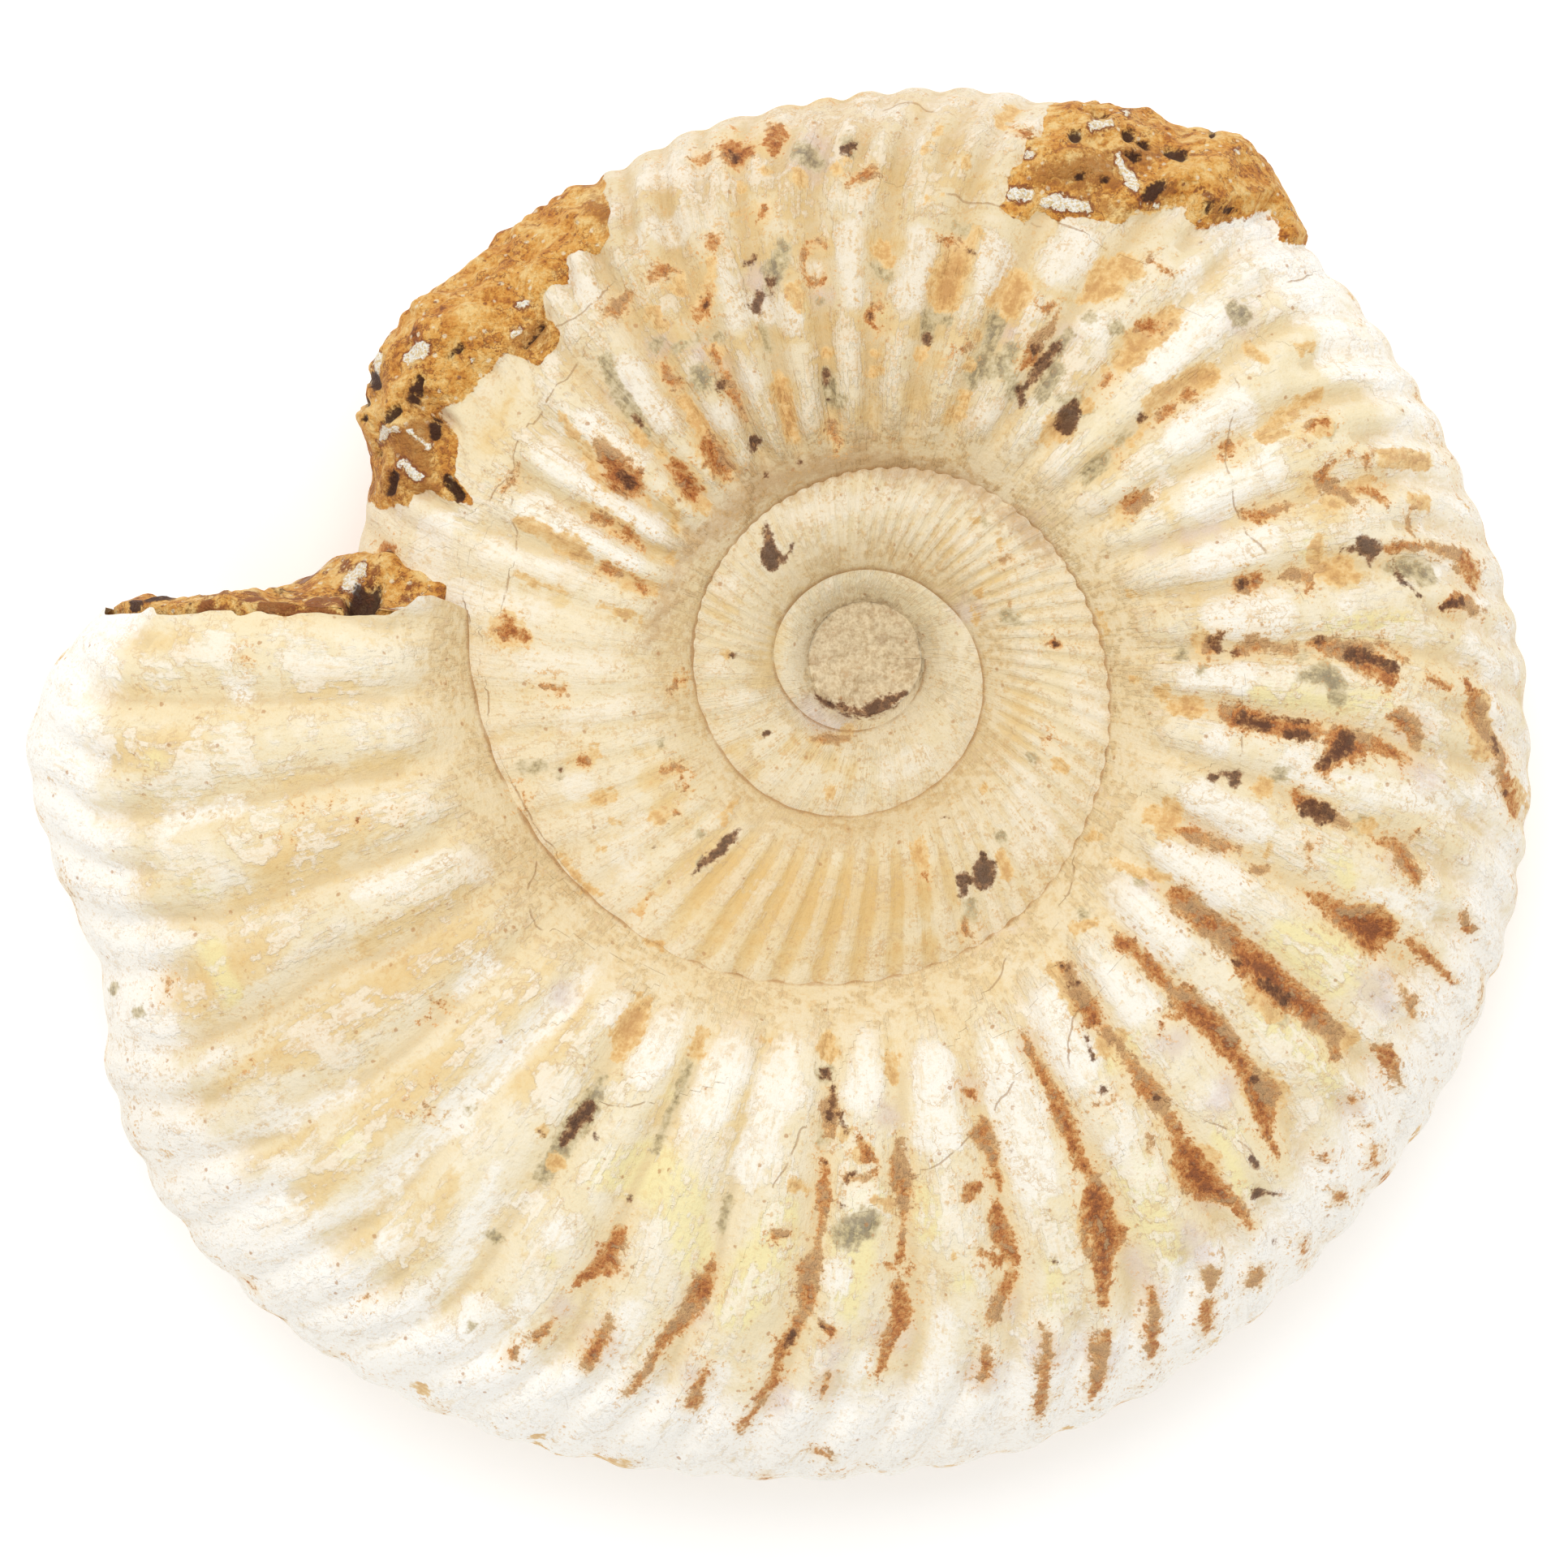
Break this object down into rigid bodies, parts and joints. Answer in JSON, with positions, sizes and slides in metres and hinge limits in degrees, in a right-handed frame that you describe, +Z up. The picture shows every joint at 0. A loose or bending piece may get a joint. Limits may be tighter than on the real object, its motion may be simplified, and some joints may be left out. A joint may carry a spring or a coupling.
{
  "type": "ammonite fossil",
  "caption": "Ribbed, coiled ammonite shell of white and ivory stone, lying on its side, with ochre rock left on its rim and a broken mouth",
  "frame": {"origin": "middle of the footprint's bounding box, on the surface that the fossil lies on", "axes": "+Z up, out of the upper flank; +X along the longest side of the footprint, away from the broken mouth; +Y across it, towards the two rim patches of ochre rock. The mouth is at -X and faces +Y"},
  "size_m": [0.1202, 0.1113, 0.0339],
  "materials": {
    "fossil_stone": "matte"
  },
  "bodies": {
    "root": {"ammonite": "fossil_stone"}
  },
  "joints": []
}
